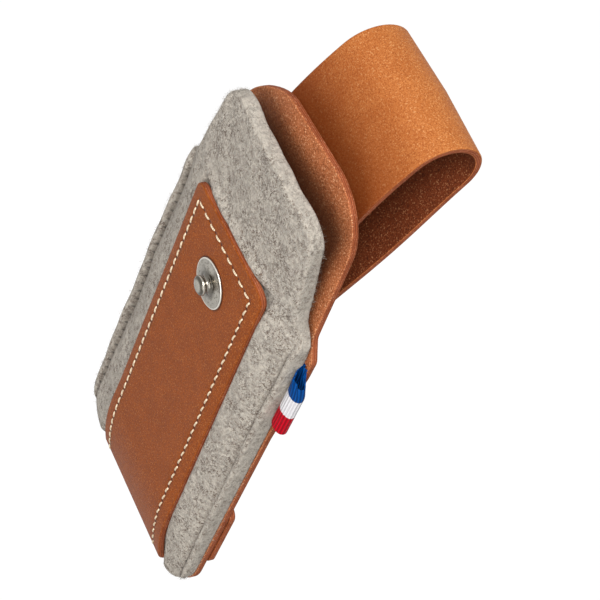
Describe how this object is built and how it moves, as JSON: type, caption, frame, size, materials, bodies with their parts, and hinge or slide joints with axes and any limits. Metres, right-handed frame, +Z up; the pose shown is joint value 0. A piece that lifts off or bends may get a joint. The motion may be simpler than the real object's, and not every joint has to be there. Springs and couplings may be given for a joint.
{
  "type": "belt sheath",
  "caption": "Felt pouch on a leather back for a folding knife, with a front strap, a press-stud, a closing strap folded into a belt loop and a ribbon tag in the side seam.",
  "frame": {"origin": "middle of the belt loop's turn, on the sheath's middle plane, where a belt lies", "axes": "+X towards the ribbon's side, +Y from the front strap to the back, +Z up towards the belt loop, the sheath's longest extent"},
  "size_m": [0.0657, 0.0467, 0.1607],
  "materials": {
    "felt": "matt wool felt",
    "panel_leather": "speckled bonded leather",
    "strap_leather": "satin leather",
    "nickel": "polished nickel plate",
    "ribbon": "grosgrain in blue, white and red"
  },
  "bodies": {
    "pouch": {"felt_body": "felt", "back_panel": "panel_leather", "front_strap": "strap_leather", "snap_stud": "nickel", "stud_eyelet": "nickel", "strap_root": "strap_leather", "ribbon_root": "ribbon"},
    "felt_lip": {"felt_lip": "felt"},
    "closing_strap": {"closing_strap": "strap_leather", "snap_socket": "nickel", "socket_spring": "nickel", "snap_cap": "nickel"},
    "ribbon_tag": {"ribbon_tag": "ribbon"}
  },
  "joints": [
    {"name": "felt_lip_bend", "type": "hinge", "parent": "pouch", "child": "felt_lip", "pos_m": [0, -0.03198, -0.03278], "axis": [1, 0, 0], "range_deg": [0, 30], "stiffness_Nm_per_rad": 0.1},
    {"name": "closing_strap_bend", "type": "hinge", "parent": "pouch", "child": "closing_strap", "pos_m": [0, -0.02139, -0.05745], "axis": [-1, 0, 0], "range_deg": [0, 25], "stiffness_Nm_per_rad": 0.6},
    {"name": "ribbon_bend", "type": "hinge", "parent": "pouch", "child": "ribbon_tag", "pos_m": [0.02925, -0.0256, -0.0578], "axis": [0, -0.034, -0.9994], "range_deg": [0, 30], "stiffness_Nm_per_rad": 0.01}
  ]
}
